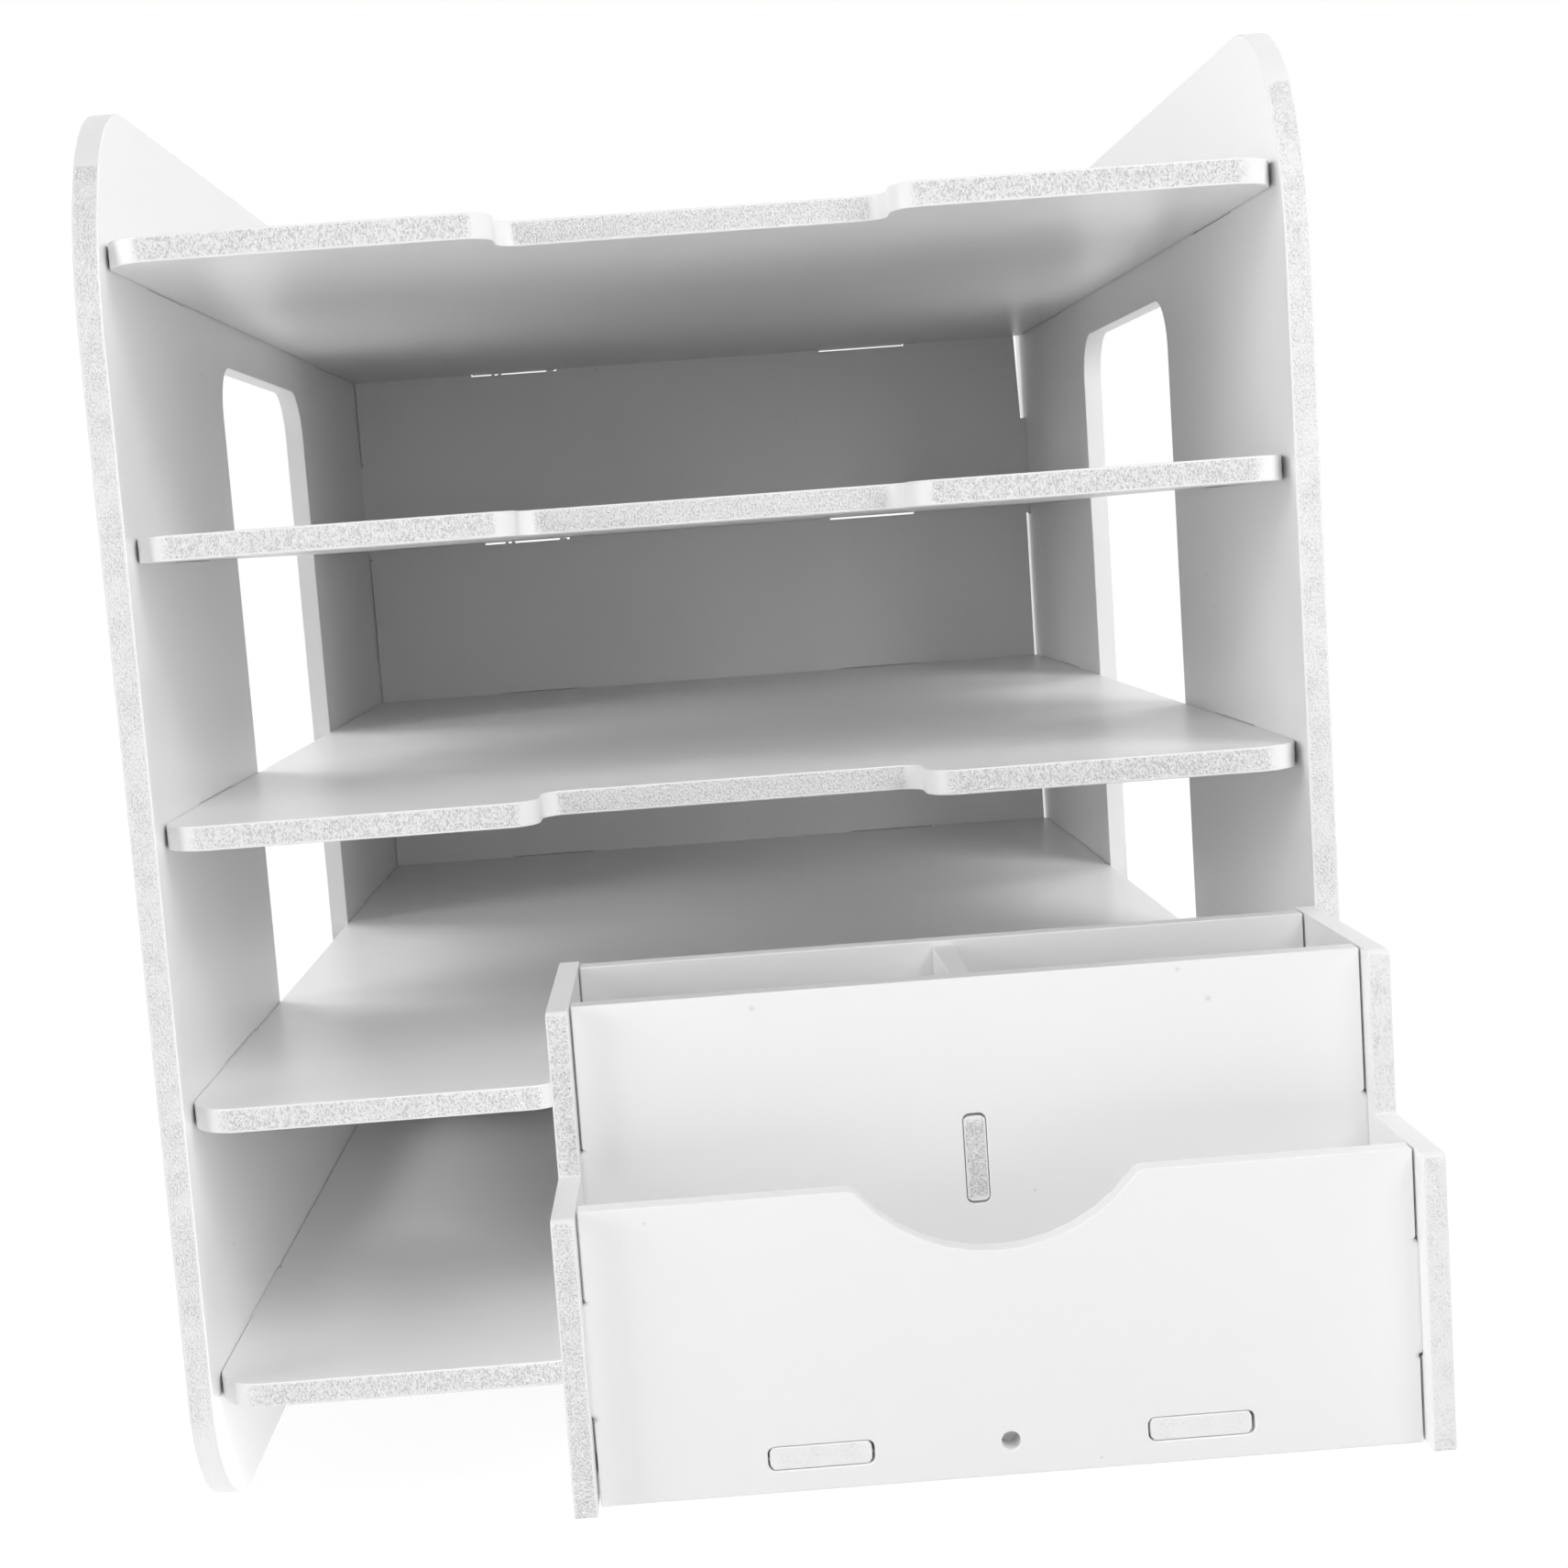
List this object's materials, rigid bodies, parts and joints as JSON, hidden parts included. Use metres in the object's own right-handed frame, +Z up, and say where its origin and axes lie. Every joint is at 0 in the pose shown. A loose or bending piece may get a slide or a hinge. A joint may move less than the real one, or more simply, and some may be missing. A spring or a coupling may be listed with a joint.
{
  "type": "envelope sorter with drawer",
  "caption": "Desktop letter rack of slot-together white foam boards with open shelves, window-cut sides and a pull-out drawer whose front is a stepped pen and card organizer.",
  "frame": {"origin": "middle of the bounding box at rest, on the table under the rack", "axes": "+X to the right seen from the front, +Y to the back, +Z up; the drawer pulls out along -Y"},
  "size_m": [0.236, 0.422, 0.2862],
  "materials": {
    "rack_board": "satin white foam board with grainy cut edges",
    "drawer_board": "satin white foam board, thinner, with grainy cut edges"
  },
  "bodies": {
    "rack": {"left_side_panel": "rack_board", "right_side_panel": "rack_board", "bottom_shelf": "rack_board", "lower_shelf": "rack_board", "middle_shelf": "rack_board", "upper_shelf": "rack_board", "top_shelf": "rack_board", "back_panel": "rack_board"},
    "drawer": {"drawer_left_side": "drawer_board", "drawer_right_side": "drawer_board", "drawer_front": "drawer_board", "drawer_middle_board": "drawer_board", "drawer_back_board": "drawer_board", "drawer_divider": "drawer_board", "drawer_bottom": "drawer_board", "drawer_tray_end": "drawer_board"}
  },
  "joints": [
    {"name": "drawer_slide", "type": "slide", "parent": "rack", "child": "drawer", "axis": [0, -1, 0], "range_m": [0, 0.12]}
  ]
}
